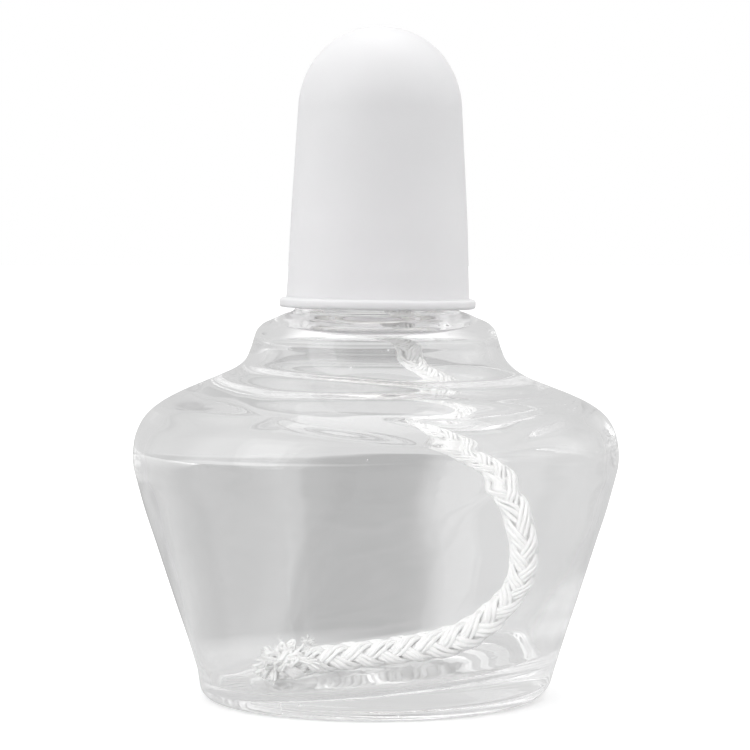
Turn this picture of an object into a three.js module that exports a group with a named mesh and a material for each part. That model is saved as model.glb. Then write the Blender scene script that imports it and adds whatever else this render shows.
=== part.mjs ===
// Alcohol burner (spirit lamp), nominal 150 ml, in millimetres, +Z up.
// Origin: centre of the circle the glass foot stands on.
// A thick-walled glass reservoir with a wide waist, a sloping shoulder, a stepped collar and a
// short plain mouth. A porcelain holder sits in the mouth, a braided cotton wick hangs from its
// tube, swings out towards +X and lies back along the floor towards -X, and a domed plastic cap
// covers the mouth.
import * as THREE from "three";

const { clamp, degToRad } = THREE.MathUtils;

const LATHE_SEGMENTS = 40;

// ---- helpers --------------------------------------------------------------------------------
// All outlines are lists of [radius, height] points.

// A smooth line through the points, resampled to steps + 1 evenly spaced points.
function smooth(points, steps) {
  const line = new THREE.CatmullRomCurve3(
    points.map(([radius, z]) => new THREE.Vector3(radius, z, 0)),
    false,
    "centripetal",
  );
  return line.getSpacedPoints(steps).map((point) => [point.x, point.y]);
}

function arc({ centre, radius, fromDeg, toDeg, steps }) {
  const points = [];
  for (let i = 0; i <= steps; i++) {
    const angle = degToRad(fromDeg + ((toDeg - fromDeg) * i) / steps);
    points.push([
      centre[0] + radius * Math.cos(angle),
      centre[1] + radius * Math.sin(angle),
    ]);
  }
  return points;
}

// A body of revolution about Z. The outline runs up the outside, then back down the inside.
function revolve(outline, segments = LATHE_SEGMENTS) {
  const points = outline.map(([radius, z]) => new THREE.Vector2(radius, z));
  return new THREE.LatheGeometry(points, segments).rotateX(Math.PI / 2);
}

function part(name, geometry, material) {
  const mesh = new THREE.Mesh(geometry, material);
  mesh.name = name;
  return mesh;
}

// ---- materials ------------------------------------------------------------------------------
const glass = new THREE.MeshStandardMaterial({
  color: 0xdfe4e4,
  roughness: 0.03,
  metalness: 0,
  transparent: true,
  opacity: 0.35,
});
const porcelain = new THREE.MeshStandardMaterial({
  color: 0xf1efe9,
  roughness: 0.18,
  metalness: 0,
});
const cotton = new THREE.MeshStandardMaterial({
  color: 0xf3f1ec,
  roughness: 0.95,
  metalness: 0,
});
const capPlastic = new THREE.MeshStandardMaterial({
  color: 0xeeedef,
  roughness: 0.42,
  metalness: 0,
});

// ---- glass reservoir ------------------------------------------------------------------------
const BODY_R = 42.0; // widest outside radius
const WAIST_Z = 42.0; // height of that widest line
const WALL = 2.0; // wall thickness at the waist
const FOOT_R = 27.0; // outside radius of the standing ring
const FOOT_RING_IN = 21.5; // inside radius of the standing ring
const FOOT_ROUND = 3.6; // rounding between the standing ring and the side
const PUSH_UP = 0.9; // height of the shallow hollow inside the standing ring
const STEP_R = 21.1; // outside radius of the stepped collar
const MOUTH_R = 13.5;
const MOUTH_BORE_R = 10.0;
const MOUTH_Z = 80.0; // height of the lip
const FLOOR_Z = 4.0; // inner floor, on the axis
const INNER_SIDE_R = 29.6; // where the inner side wall starts, above the floor's rounding
const INNER_SIDE_Z = 8.4;

// Side, shoulder and collar, from the foot up: [radius, height].
const OUTER_SIDE = [
  [31.0, 5.2], [34.8, 16.9], [38.1, 27.3], [39.8, 32.4],
  [41.2, 37.4], [41.85, 40.0], [BODY_R, WAIST_Z], [41.75, 44.6],
  [41.0, 46.9], [39.6, 49.0], [37.2, 50.9], [33.9, 52.6],
  [30.0, 54.2], [26.6, 55.6], [24.2, 56.9], [22.6, 58.4],
  [21.7, 60.4], [STEP_R, 62.3], [20.6, 63.6], [19.5, 64.7],
  [17.8, 65.5], [15.9, 66.35], [14.35, 66.95], [13.62, 68.2],
];
// The same stretch inside, from the mouth's bore down: [radius, height].
const INNER_SIDE = [
  [MOUTH_BORE_R + 0.5, 66.29], [12.38, 64.95], [15.18, 63.95], [17.6, 63.06],
  [18.86, 61.73], [19.32, 59.93], [20.13, 57.84], [21.84, 55.8],
  [24.93, 54.07], [29.02, 52.37], [33.31, 50.47], [36.6, 48.68],
  [38.71, 46.59], [39.66, 44.48], [BODY_R - WALL, WAIST_Z + 0.25], [39.63, 39.24],
  [38.06, 33.8], [35.85, 27.0], [32.6, 16.8], [INNER_SIDE_R, INNER_SIDE_Z],
];

// Tilts the inner floor up towards +X and down towards -X, as unevenly settled glass.
// The tilt fades out up the inner wall.
function settleFloor(geometry) {
  const rise = 3.0; // height change at riseRadius from the axis
  const riseRadius = 28;
  const topZ = 22; // the tilt has faded out here
  const floorMargin = 0.35; // reach below the floor's height
  const wallSlope = 0.32; // approximate radius gained per height by the inner wall
  const wallMargin = 0.9; // keeps the inner wall within the selection, and the outer one out

  const position = geometry.getAttribute("position");
  for (let i = 0; i < position.count; i++) {
    const x = position.getX(i);
    const z = position.getZ(i);
    const radius = Math.hypot(x, position.getY(i));
    const innerLimit = INNER_SIDE_R + (z - INNER_SIDE_Z) * wallSlope + wallMargin;
    if (z >= FLOOR_Z - floorMargin && z < topZ && radius < innerLimit) {
      const fade = clamp((topZ - z) / (topZ - INNER_SIDE_Z), 0, 1);
      position.setZ(i, z + (rise * x * fade) / riseRadius);
    }
  }
  return geometry;
}

function buildReservoir() {
  const outside = [
    [0, PUSH_UP],
    [12, PUSH_UP],
    [FOOT_RING_IN - 2.2, PUSH_UP * 0.75],
    [FOOT_RING_IN, 0],
    [FOOT_R, 0],
    ...arc({
      centre: [FOOT_R, FOOT_ROUND],
      radius: FOOT_ROUND,
      fromDeg: -72,
      toDeg: -14,
      steps: 3,
    }),
    ...smooth(OUTER_SIDE, 30),
    [MOUTH_R, 70.2],
    [MOUTH_R, MOUTH_Z - 1.3],
    [MOUTH_R - 0.4, MOUTH_Z - 0.4],
    [MOUTH_R - 1.3, MOUTH_Z],
  ];
  const inside = [
    [MOUTH_BORE_R + 0.9, MOUTH_Z],
    [MOUTH_BORE_R + 0.25, MOUTH_Z - 0.3],
    [MOUTH_BORE_R, MOUTH_Z - 1.0],
    [MOUTH_BORE_R, 67.8],
    ...smooth(INNER_SIDE, 26),
    ...arc({ centre: [25.9, 7.6], radius: 3.3, fromDeg: -8, toDeg: -90, steps: 4 }),
    [14, FLOOR_Z],
    [0, FLOOR_Z],
  ];
  return part("glass_reservoir", settleFloor(revolve([...outside, ...inside])), glass);
}

// ---- porcelain wick holder ------------------------------------------------------------------
const HOLDER_GAP = 0.3; // between the lip and the disc
const DISC_R = 12.7;
const DISC_T = 2.6;
const DISC_Z = MOUTH_Z + HOLDER_GAP; // underside of the disc
const DISC_TOP_Z = DISC_Z + DISC_T;
const PLUG_R = 9.2; // skirt that centres the holder in the mouth
const PLUG_Z = 76.2; // underside of the skirt
const TUBE_R = 4.8;
const TUBE_BORE_R = 3.15;
const TUBE_TOP_Z = 89.0;
const TUBE_BOTTOM_Z = 74.5;

function buildHolder() {
  const outline = [
    // tube below the skirt
    [TUBE_BORE_R, TUBE_BOTTOM_Z + 0.3],
    [TUBE_BORE_R + 0.3, TUBE_BOTTOM_Z],
    [TUBE_R - 0.35, TUBE_BOTTOM_Z],
    [TUBE_R, TUBE_BOTTOM_Z + 0.35],
    // skirt
    [TUBE_R, PLUG_Z],
    [PLUG_R - 1.9, PLUG_Z],
    [PLUG_R - 0.5, PLUG_Z + 0.2],
    [PLUG_R, PLUG_Z + 0.8],
    // disc
    [PLUG_R, DISC_Z],
    [DISC_R - 0.5, DISC_Z],
    [DISC_R, DISC_Z + 0.5],
    [DISC_R, DISC_TOP_Z - 1.1],
    [DISC_R - 0.4, DISC_TOP_Z - 0.4],
    [DISC_R - 1.3, DISC_TOP_Z],
    // fillet and tube above the disc
    [TUBE_R + 2.6, DISC_TOP_Z + 0.3],
    [TUBE_R + 1.0, DISC_TOP_Z + 1.0],
    [TUBE_R + 0.15, DISC_TOP_Z + 2.4],
    [TUBE_R, TUBE_TOP_Z - 0.6],
    [TUBE_R - 0.45, TUBE_TOP_Z - 0.1],
    [TUBE_R - 0.8, TUBE_TOP_Z],
    [TUBE_BORE_R + 0.25, TUBE_TOP_Z],
    [TUBE_BORE_R, TUBE_TOP_Z - 0.3],
  ];
  return part("wick_holder", revolve([...outline, outline[0]]), porcelain);
}

// ---- cap ------------------------------------------------------------------------------------
// A thin domed shell with draft, a rim bead at its mouth and a shallow grip rib inside.
const CAP_TOP_Z = 115.7;
const CAP_WALL = 1.35;
const CAP_RIM_Z = 67.3; // underside of the rim bead
const CAP_RIM_R = 16.9; // outside radius of the rim bead
const CAP_FOOT_R = 15.75; // outside radius just above the bead
const CAP_BORE_R = CAP_FOOT_R - CAP_WALL;
const CAP_RIB = 0.42; // how far the grip rib stands in from the bore
const CAP_SHOULDER_R = 14.1; // outside radius where the dome starts
const CAP_SHOULDER_Z = 101.0;
const DOME_POWER = 0.94; // below 1 makes the dome fuller than an ellipse
// Outside of the drafted side, going up: [radius, height].
const CAP_SIDE = [
  [15.25, 80],
  [14.6, 92],
];

// The dome's outline from its shoulder up to the axis; inset is measured from the outside.
function dome(inset, steps) {
  const radius = CAP_SHOULDER_R - inset;
  const height = CAP_TOP_Z - CAP_SHOULDER_Z - inset;
  const points = [];
  for (let i = 0; i < steps; i++) {
    const angle = ((Math.PI / 2) * i) / steps;
    points.push([
      radius * Math.cos(angle) ** DOME_POWER,
      CAP_SHOULDER_Z + height * Math.sin(angle),
    ]);
  }
  points.push([0, CAP_SHOULDER_Z + height]);
  return points;
}

function buildCap() {
  const rimStart = [CAP_BORE_R + 0.25, CAP_RIM_Z];
  const outside = [
    rimStart,
    [CAP_RIM_R - 0.45, CAP_RIM_Z],
    [CAP_RIM_R - 0.1, CAP_RIM_Z + 0.18],
    [CAP_RIM_R, CAP_RIM_Z + 0.5],
    [CAP_RIM_R - 0.02, CAP_RIM_Z + 1.25],
    [CAP_RIM_R - 0.35, CAP_RIM_Z + 1.65],
    [CAP_FOOT_R + 0.12, CAP_RIM_Z + 1.75],
    [CAP_FOOT_R - 0.1, CAP_RIM_Z + 3.4],
    ...CAP_SIDE,
    ...dome(0, 9),
  ];
  const innerSide = CAP_SIDE.map(([radius, z]) => [radius - CAP_WALL, z]);
  const inside = [
    ...dome(CAP_WALL, 8).reverse(),
    ...innerSide.reverse(),
    [CAP_BORE_R - 0.1, CAP_RIM_Z + 5.5],
    [CAP_BORE_R - CAP_RIB, CAP_RIM_Z + 4.7],
    [CAP_BORE_R - CAP_RIB, CAP_RIM_Z + 3.9],
    [CAP_BORE_R, CAP_RIM_Z + 3.1],
    [CAP_BORE_R, CAP_RIM_Z + 0.3],
    rimStart,
  ];
  return part("cap", revolve([...outside, ...inside]), capPlastic);
}

// ---- braided wick ---------------------------------------------------------------------------
// One braid in four lengths so that it can bend: the burning end in the tube, and three lengths
// below it that hinge about Y at WICK_JOINTS.
const WICK_R = 2.6;
const WICK_SIDES = 12;
const WICK_STEP = 2.2; // approximate spacing of the rings along a length
const WICK_TIP_Z = 93.5;
const WICK_TIP_BOTTOM_Z = 77.6; // the burning end stops inside the tube
const WICK_JOINTS = [0, 35.99, 69.48]; // hinges, as distances along the path
const JOINT_GAP = 0.4; // from a length's rounded end to the hinge

// Centre line below the tube, from the top down, in the XZ plane: [x, z].
const WICK_PATH = [
  [0, 73.2], [0.55, 71.5], [2.0, 69.0], [3.5, 66.3], [4.5, 63.4], [5.2, 60.0], [6.4, 56.0],
  [9.0, 51.0], [13.3, 45.8], [18.4, 40.6], [22.6, 35.0], [25.1, 28.9], [25.4, 22.6],
  [23.8, 16.8], [20.0, 12.2], [14.5, 9.4], [8.0, 8.1], [0, 7.2], [-8, 6.2], [-13, 5.7],
  [-18.5, 5.2],
];

// A round-ended rod, revolved upright and then bent along the curve between two distances.
function wickRod(curve, start, end) {
  const span = end - start;
  const straightLength = span - 2 * WICK_R;
  const steps = Math.max(2, Math.round(straightLength / WICK_STEP));
  const roundEnd = [25, 50, 75].map((degrees) => [
    WICK_R * Math.sin(degToRad(degrees)),
    WICK_R * (1 - Math.cos(degToRad(degrees))),
  ]);
  const outline = [[0, 0], ...roundEnd];
  for (let i = 0; i <= steps; i++) {
    outline.push([WICK_R, WICK_R + (straightLength * i) / steps]);
  }
  const farEnd = roundEnd.map(([radius, z]) => [radius, span - z]);
  outline.push(...farEnd.reverse(), [0, span]);

  const geometry = revolve(outline, WICK_SIDES);
  const position = geometry.getAttribute("position");
  const total = curve.getLength();
  const side = new THREE.Vector3(0, 1, 0);
  for (let i = 0; i < position.count; i++) {
    const along = clamp((start + position.getZ(i)) / total, 0, 1);
    const normal = new THREE.Vector3()
      .crossVectors(side, curve.getTangentAt(along))
      .normalize();
    const point = curve
      .getPointAt(along)
      .addScaledVector(normal, position.getX(i))
      .addScaledVector(side, position.getY(i));
    position.setXYZ(i, point.x, point.y, point.z);
  }
  return geometry;
}

function buildWick() {
  const tipLine = new THREE.LineCurve3(
    new THREE.Vector3(0, 0, WICK_TIP_BOTTOM_Z),
    new THREE.Vector3(0, 0, WICK_TIP_Z),
  );
  const tip = wickRod(tipLine, 0, WICK_TIP_Z - WICK_TIP_BOTTOM_Z);

  const path = new THREE.CatmullRomCurve3(
    WICK_PATH.map(([x, z]) => new THREE.Vector3(x, 0, z)),
    false,
    "centripetal",
  );
  // The last length has no hinge at its end, so it reaches the end of the path.
  const stops = [...WICK_JOINTS, path.getLength() + JOINT_GAP];
  const lengths = ["wick_upper", "wick_bend", "wick_tail"].map((name, i) =>
    part(name, wickRod(path, stops[i] + JOINT_GAP, stops[i + 1] - JOINT_GAP), cotton),
  );
  return [part("wick_tip", tip, cotton), ...lengths];
}

// ---- assembly -------------------------------------------------------------------------------
const burner = new THREE.Group();
burner.add(buildReservoir(), buildHolder(), buildCap(), ...buildWick());

export default burner;
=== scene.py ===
"""An alcohol burner: glass reservoir, porcelain wick holder, snuffer cap and braided cotton wick.

The lamp stands on z = 0 with its axis on Z, +Z up. The camera looks along +Y, so -Y is the front
and +X the right. Shapes are in millimetres and become metres in mesh_object. The stage, the
lights and the distances inside materials are in metres.
"""

import math

import bpy
import numpy as np
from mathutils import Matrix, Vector


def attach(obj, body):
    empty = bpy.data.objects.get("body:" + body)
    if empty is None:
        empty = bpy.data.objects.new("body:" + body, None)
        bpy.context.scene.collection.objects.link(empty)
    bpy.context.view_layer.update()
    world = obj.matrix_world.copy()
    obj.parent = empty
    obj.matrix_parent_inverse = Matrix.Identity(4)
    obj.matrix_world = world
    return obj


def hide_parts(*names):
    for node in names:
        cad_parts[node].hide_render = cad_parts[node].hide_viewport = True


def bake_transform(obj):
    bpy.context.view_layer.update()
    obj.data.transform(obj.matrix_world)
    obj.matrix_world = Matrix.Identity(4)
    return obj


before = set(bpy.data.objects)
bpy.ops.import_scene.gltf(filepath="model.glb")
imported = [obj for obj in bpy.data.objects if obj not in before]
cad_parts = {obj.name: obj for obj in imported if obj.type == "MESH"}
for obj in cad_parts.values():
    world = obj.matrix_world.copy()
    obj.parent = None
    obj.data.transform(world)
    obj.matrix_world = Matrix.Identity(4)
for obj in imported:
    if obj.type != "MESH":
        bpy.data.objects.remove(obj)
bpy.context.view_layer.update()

MM = 0.001

# inner floor of the reservoir: its height on the axis, and its rise over a run towards +X
FLOOR_HEIGHT = 4.0
FLOOR_RISE = 3.0
FLOOR_RUN = 28.0

# camera, which the floor's shading also uses (metres)
CAMERA_X = -0.0001725
CAMERA_BACK = 0.525
CAMERA_HEIGHT = 0.081
CAMERA_TARGET_HEIGHT = 0.0557


# ---------------------------------------------------------------------------------------------
# curves and profiles
# ---------------------------------------------------------------------------------------------
def smoothstep(start, end, value):
    part = np.clip((value - start) / (end - start), 0.0, 1.0)
    return part * part * (3 - 2 * part)


def unit(vectors):
    """One vector, or each row of an array, at length 1."""
    return vectors / np.maximum(np.linalg.norm(vectors, axis=-1, keepdims=True), 1e-9)


def radial(angle, normal, side):
    """Direction at an angle from normal towards side, for one angle or an array of them."""
    angle = np.asarray(angle)[..., None]
    return np.cos(angle) * normal + np.sin(angle) * side


def catmull(points, per):
    """Centripetal Catmull-Rom through 2-D or 3-D points, with per steps between neighbours."""
    points = np.asarray(points, float)
    padded = np.vstack([2 * points[0] - points[1], points, 2 * points[-1] - points[-2]])
    curve = []
    for i in range(1, len(padded) - 2):
        level_0 = padded[i - 1 : i + 3]
        knots = [0.0]
        for here, following in zip(level_0, level_0[1:]):
            knots.append(knots[-1] + max(np.linalg.norm(following - here), 1e-9) ** 0.5)

        def between(low, high, first, second):
            span = knots[high] - knots[low]
            return (knots[high] - at) / span * first + (at - knots[low]) / span * second

        for k in range(per):
            at = knots[1] + (knots[2] - knots[1]) * (k / per)
            level_1 = [between(j, j + 1, level_0[j], level_0[j + 1]) for j in range(3)]
            level_2 = [between(j, j + 2, level_1[j], level_1[j + 1]) for j in range(2)]
            curve.append(between(1, 2, *level_2))
    curve.append(points[-1])
    return np.array(curve)


def arc(centre_radius, centre_z, radius, start, end, steps):
    """Profile points on an arc between two angles in degrees, 0 outwards and 90 up."""
    angle = np.radians(np.linspace(start, end, steps + 1))
    return np.stack(
        [centre_radius + radius * np.cos(angle), centre_z + radius * np.sin(angle)], 1
    )


def line(start, end, steps):
    part = np.linspace(0, 1, steps + 1)[:, None]
    return np.asarray(start, float) * (1 - part) + np.asarray(end, float) * part


def chain(*runs):
    """Joins runs of profile points and drops the doubles where they meet."""
    points = np.vstack([np.asarray(run, float).reshape(-1, 2) for run in runs])
    keep = [0]
    for i in range(1, len(points)):
        if np.linalg.norm(points[i] - points[keep[-1]]) > 1e-4:
            keep.append(i)
    return points[keep]


# ---------------------------------------------------------------------------------------------
# meshes
# ---------------------------------------------------------------------------------------------
def mesh_object(name, verts, faces, crease_deg, material, uv=None):
    """An object from vertices in millimetres. uv: one (u, v) per face corner."""
    mesh = bpy.data.meshes.new(name)
    mesh.from_pydata(
        (np.asarray(verts, float) * MM).tolist(), [], [list(map(int, face)) for face in faces]
    )
    mesh.polygons.foreach_set("use_smooth", [True] * len(mesh.polygons))
    mesh.update()
    if crease_deg:
        mesh.set_sharp_from_angle(angle=math.radians(crease_deg))
    if uv is not None:
        layer = mesh.uv_layers.new(name="UVMap")
        layer.data.foreach_set("uv", np.asarray(uv, np.float32).ravel())
    mesh.validate(verbose=False)
    piece = link_object(name, mesh)
    piece.data.materials.append(material)
    return piece


def link_object(name, data):
    made = bpy.data.objects.new(name, data)
    bpy.context.scene.collection.objects.link(made)
    return made


def lathe(profile, segments):
    """Vertices, faces and vertex rows of a (radius, z) profile turned about Z.

    An end on the axis becomes one pole vertex. A profile with no end on the axis closes on
    itself. Faces point outwards for a profile listed up the outside.
    """
    profile = np.asarray(profile, float)
    count = len(profile)
    poles = {i for i in (0, count - 1) if profile[i][0] < 1e-6}
    angle = np.arange(segments) * 2 * math.pi / segments
    cosine, sine = np.cos(angle), np.sin(angle)
    rows, verts = [], []
    for i, (radius, z) in enumerate(profile):
        if i in poles:
            rows.append([len(verts)])
            verts.append((0, 0, z))
        else:
            rows.append(list(range(len(verts), len(verts) + segments)))
            verts.extend(zip(radius * cosine, radius * sine, [z] * segments))
    pairs = list(zip(rows, rows[1:]))
    if not poles:
        pairs.append((rows[-1], rows[0]))
    faces = []
    for low, high in pairs:
        for k in range(segments):
            m = (k + 1) % segments
            if len(low) == 1:
                faces.append((low[0], high[m], high[k]))
            elif len(high) == 1:
                faces.append((low[k], low[m], high[0]))
            else:
                faces.append((low[k], low[m], high[m], high[k]))
    return np.array(verts), faces, rows


def polar(verts):
    """Radius and angle about Z."""
    return np.hypot(verts[:, 0], verts[:, 1]), np.arctan2(verts[:, 1], verts[:, 0])


def push_out(verts, angle, amount):
    """Moves vertices away from the axis."""
    shift = [amount * np.cos(angle), amount * np.sin(angle), np.zeros_like(amount)]
    return verts + np.stack(shift, 1)


def sine_field(seed, count, max_turns, max_waves, span):
    """A smooth repeatable field over (angle, height).

    It adds count waves, with up to max_turns whole waves round the axis and up to max_waves
    over a height of span.
    """
    rng = np.random.default_rng(seed)
    waves = [
        (
            rng.integers(0, max_turns + 1),
            rng.uniform(-max_waves, max_waves) / span,
            rng.uniform(0, 2 * math.pi),
            rng.uniform(0.4, 1.0),
        )
        for _ in range(count)
    ]
    total = math.sqrt(sum(size**2 for *_, size in waves) / 2)

    def field(angle, height):
        value = np.zeros_like(angle)
        for turns, rate, phase, size in waves:
            value += size * np.sin(turns * angle + 2 * math.pi * rate * height + phase)
        return value / total

    return field


def tube(points, radii, sides, u_start=0.0):
    """Vertices, faces and corner uv (u round, v along in millimetres) of a closed swept tube."""
    points = np.asarray(points, float)
    count = len(points)
    tangent = unit(np.gradient(points, axis=0))
    start = np.array([0.0, 1.0, 0.0])
    if abs(np.dot(start, tangent[0])) > 0.9:
        start = np.array([1.0, 0.0, 0.0])
    # each normal is the last one carried along without twist
    normal = np.zeros_like(points)
    for i in range(count):
        before = normal[i - 1] if i else start
        normal[i] = unit(before - tangent[i] * np.dot(before, tangent[i]))
    side = np.cross(tangent, normal)
    angle = np.arange(sides) * 2 * math.pi / sides
    radii = np.broadcast_to(np.asarray(radii, float), (count,))
    around = radial(angle, normal[:, None, :], side[:, None, :])
    verts = (points[:, None, :] + radii[:, None, None] * around).reshape(-1, 3)
    steps = np.linalg.norm(np.diff(points, axis=0), axis=1)
    along = np.concatenate([[0], np.cumsum(steps)])
    faces, uv = [], []
    for i in range(count - 1):
        low, high = i * sides, (i + 1) * sides
        for k in range(sides):
            m = (k + 1) % sides
            faces.append((low + k, low + m, high + m, high + k))
            u_left, u_right = u_start + k / sides, u_start + (k + 1) / sides
            uv.extend([(u_left, along[i]), (u_right, along[i])])
            uv.extend([(u_right, along[i + 1]), (u_left, along[i + 1])])
    for row, order in ((0, range(sides)[::-1]), (count - 1, range(sides))):
        faces.append(tuple(row * sides + k for k in order))
        uv.extend([(u_start + k / sides, along[row]) for k in order])
    return verts, faces, uv


class Bundle:
    """Collects closed parts into one mesh."""

    def __init__(self):
        self.verts, self.faces, self.uv, self.count = [], [], [], 0

    def add(self, verts, faces, uv=()):
        self.verts.append(verts)
        self.faces.extend([tuple(self.count + i for i in face) for face in faces])
        self.uv.extend(uv)
        self.count += len(verts)

    def make_object(self, name, crease_deg, material):
        verts = np.vstack(self.verts)
        return mesh_object(name, verts, self.faces, crease_deg, material, self.uv or None)


# ---------------------------------------------------------------------------------------------
# shader graphs
# ---------------------------------------------------------------------------------------------
class Graph:
    """Short ways to add and join the nodes of one node tree."""

    def __init__(self, tree):
        self.tree = tree

    def add(self, kind, **props):
        node = self.tree.nodes.new(kind)
        for name, value in props.items():
            setattr(node, name, value)
        return node

    def feed(self, socket, value):
        """Links another node's output to a socket, or sets the socket's own value."""
        if isinstance(value, bpy.types.NodeSocket):
            self.tree.links.new(value, socket)
        else:
            socket.default_value = value

    def feed_named(self, node, **values):
        """Feeds sockets by name, with _ for a space."""
        for name, value in values.items():
            self.feed(node.inputs[name.replace("_", " ")], value)

    def noise(self, vector, scale, detail, roughness=0.55):
        node = self.add("ShaderNodeTexNoise")
        self.feed_named(node, Scale=scale, Detail=detail, Roughness=roughness, Vector=vector)
        return node.outputs["Fac"]

    def ramp(self, factor, stops):
        """stops: (position, colour) pairs."""
        node = self.add("ShaderNodeValToRGB")
        elements = node.color_ramp.elements
        while len(elements) < len(stops):
            elements.new(0.5)
        for element, (position, colour) in zip(elements, stops):
            element.position = position
            element.color = (*colour, 1.0)
        self.feed(node.inputs["Fac"], factor)
        return node.outputs["Color"]

    def map_range(self, value, span, to=(0.0, 1.0), smooth=False):
        node = self.add("ShaderNodeMapRange")
        if smooth:
            node.interpolation_type = "SMOOTHSTEP"
        self.feed_named(
            node, From_Min=span[0], From_Max=span[1], To_Min=to[0], To_Max=to[1], Value=value
        )
        return node.outputs["Result"]

    def math(self, operation, first, second):
        node = self.add("ShaderNodeMath", operation=operation)
        self.feed(node.inputs[0], first)
        self.feed(node.inputs[1], second)
        return node.outputs[0]

    def plus(self, first, second):
        return self.math("ADD", first, second)

    def times(self, first, second):
        return self.math("MULTIPLY", first, second)

    def band(self, value, rise, fall, smooth=False):
        """1 between two ramps: it climbs over the rise span and drops over the fall span."""
        return self.times(
            self.map_range(value, span=rise, smooth=smooth),
            self.map_range(value, span=fall, to=(1.0, 0.0), smooth=smooth),
        )

    def separate(self, vector):
        node = self.add("ShaderNodeSeparateXYZ")
        self.feed(node.inputs[0], vector)
        return tuple(node.outputs)

    def mix_colour(self, factor, first, second):
        node = self.add("ShaderNodeMix", data_type="RGBA")
        self.feed_named(node, Factor=factor, A=first, B=second)
        return node.outputs["Result"]


class Material(Graph):
    def __init__(self, name):
        self.material = bpy.data.materials.new(name)
        self.material.use_nodes = True
        super().__init__(self.material.node_tree)
        self.surface = next(n for n in self.tree.nodes if n.type == "BSDF_PRINCIPLED")

    def set(self, **values):
        """Feeds the surface's sockets by name, with _ for a space."""
        self.feed_named(self.surface, **values)

    def bump(self, height, strength, distance):
        node = self.add("ShaderNodeBump")
        self.feed_named(node, Strength=strength, Distance=distance, Height=height)
        self.set(Normal=node.outputs["Normal"])

    def position(self):
        return self.add("ShaderNodeTexCoord").outputs["Object"]


# ---------------------------------------------------------------------------------------------
# materials
# ---------------------------------------------------------------------------------------------
def glass_material():
    mat = Material("soda_lime_glass")
    place = mat.position()
    mat.set(Transmission_Weight=1.0, IOR=1.5, Roughness=0.0)
    cloud = mat.noise(place, scale=38.0, detail=3.0)
    tints = [(0.3, (0.994, 0.995, 0.995)), (0.7, (0.998, 0.998, 0.998))]
    mat.set(Base_Color=mat.ramp(cloud, stops=tints))
    # fire-polished almost everywhere, a little duller where the mould's skin is rougher
    skin = mat.noise(place, scale=210.0, detail=4.0)
    # a trace of dried spirit hazes the wall low down on the wick's side
    x, _, z = mat.separate(place)
    film = mat.times(
        mat.map_range(x, span=(0.0235, 0.0290)),
        mat.band(z, rise=(0.007, 0.011), fall=(0.026, 0.036)),
    )
    film = mat.times(film, mat.map_range(skin, span=(0.3, 0.7), to=(0.09, 0.13)))
    polish = mat.map_range(skin, span=(0.45, 0.8), to=(0.0, 0.02))
    mat.set(Roughness=mat.plus(polish, film))
    waviness = mat.noise(place, scale=75.0, detail=1.5, roughness=0.4)
    mat.bump(waviness, strength=0.16, distance=0.0006)
    return mat.material


def porcelain_material():
    mat = Material("glazed_porcelain")
    place = mat.position()
    tone = mat.noise(place, scale=260.0, detail=4.0)
    speck = mat.noise(place, scale=1900.0, detail=2.0)
    body = mat.ramp(tone, stops=[(0.32, (0.845, 0.835, 0.800)), (0.7, (0.905, 0.900, 0.875))])
    dots = mat.map_range(speck, span=(0.70, 0.78), to=(0.0, 0.35))
    mat.set(
        Base_Color=mat.mix_colour(dots, first=body, second=(0.62, 0.58, 0.50, 1)),
        Roughness=mat.map_range(tone, span=(0.3, 0.7), to=(0.14, 0.26)),
        Coat_Weight=0.5,
        Coat_Roughness=0.06,
        IOR=1.5,
    )
    mat.bump(mat.noise(place, scale=520.0, detail=2.0), strength=0.12, distance=0.00025)
    return mat.material


def cap_material():
    mat = Material("moulded_cap_plastic")
    place = mat.position()
    broad = mat.noise(place, scale=34.0, detail=3.0)
    fine = mat.noise(place, scale=900.0, detail=3.0)
    greys = [
        (0.28, (0.672, 0.670, 0.680)),
        (0.5, (0.692, 0.690, 0.699)),
        (0.74, (0.710, 0.708, 0.716)),
    ]
    mat.set(
        Base_Color=mat.ramp(broad, stops=greys),
        Roughness=mat.map_range(fine, span=(0.3, 0.7), to=(0.40, 0.52)),
        IOR=1.5,
        Subsurface_Weight=0.85,
        Subsurface_Scale=0.0035,
        Specular_IOR_Level=0.45,
        Subsurface_Radius=(1.0, 0.96, 0.98),
    )
    # a very fine spark-eroded mould texture over long shallow sinks
    height = mat.plus(mat.times(fine, 0.35), mat.times(broad, 0.65))
    mat.bump(height, strength=0.10, distance=0.00035)
    return mat.material


def cotton_material():
    mat = Material("braided_cotton")
    uv = mat.add("ShaderNodeUVMap", uv_map="UVMap").outputs["UV"]
    place = mat.position()
    # twisted fibres: fine diagonal lines round each yarn, broken up by noise
    wave = mat.add("ShaderNodeTexWave", wave_type="BANDS", bands_direction="DIAGONAL")
    mat.feed_named(wave, Scale=2.6, Distortion=3.0, Detail=3.0, Detail_Scale=2.2, Vector=uv)
    fibres = wave.outputs["Fac"]
    tone = mat.noise(place, scale=240.0, detail=4.0)
    mixed = mat.plus(mat.times(tone, 0.6), mat.times(fibres, 0.4))
    whites = [
        (0.15, (0.950, 0.947, 0.940)),
        (0.5, (0.980, 0.979, 0.975)),
        (0.85, (0.992, 0.991, 0.989)),
    ]
    mat.set(
        Base_Color=mat.ramp(mixed, stops=whites),
        Roughness=mat.map_range(tone, span=(0.3, 0.7), to=(0.80, 0.96)),
        Sheen_Weight=0.35,
        Sheen_Roughness=0.45,
        Specular_IOR_Level=0.18,
    )
    height = mat.plus(mat.times(fibres, 0.7), mat.times(tone, 0.3))
    mat.bump(height, strength=0.55, distance=0.00012)
    return mat.material


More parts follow.
